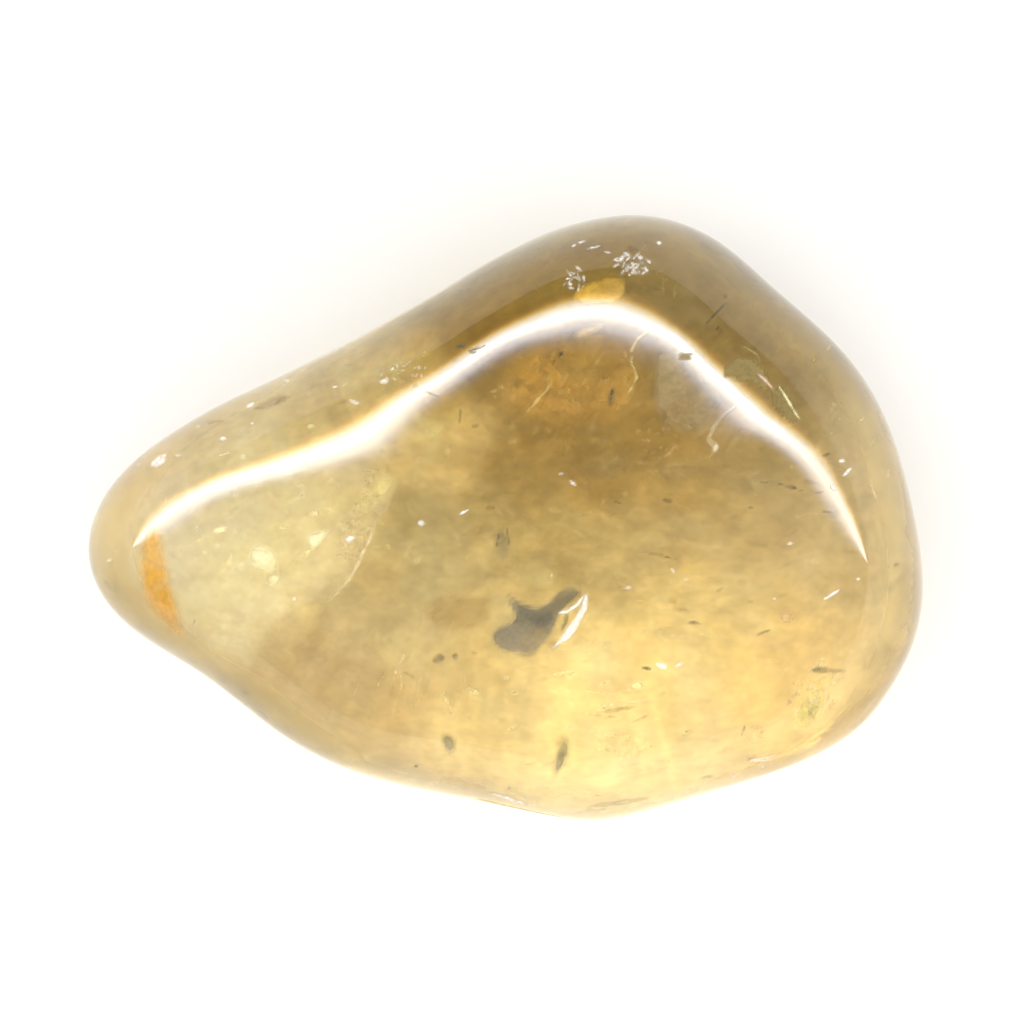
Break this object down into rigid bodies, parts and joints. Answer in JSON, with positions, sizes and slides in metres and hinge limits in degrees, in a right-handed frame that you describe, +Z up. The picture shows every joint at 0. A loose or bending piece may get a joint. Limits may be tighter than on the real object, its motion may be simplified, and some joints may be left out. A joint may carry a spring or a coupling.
{
  "type": "tumbled citrine stone",
  "caption": "Polished tumbled pebble of clear yellow quartz, a rounded triangle from above, domed and tapering to a blunt tip, resting on a worn flat underside.",
  "frame": {"origin": "under the middle of the outline, on the resting face", "axes": "+X along the stone's length, from the blunt tip to the full end; +Y across its width, towards the top of the picture; +Z up from the resting face"},
  "size_m": [0.03, 0.0218, 0.0129],
  "materials": {
    "citrine": "polished clear yellow quartz, with veils, fractures and an iron stain inside"
  },
  "bodies": {
    "root": {"citrine_stone": "citrine"}
  },
  "joints": []
}
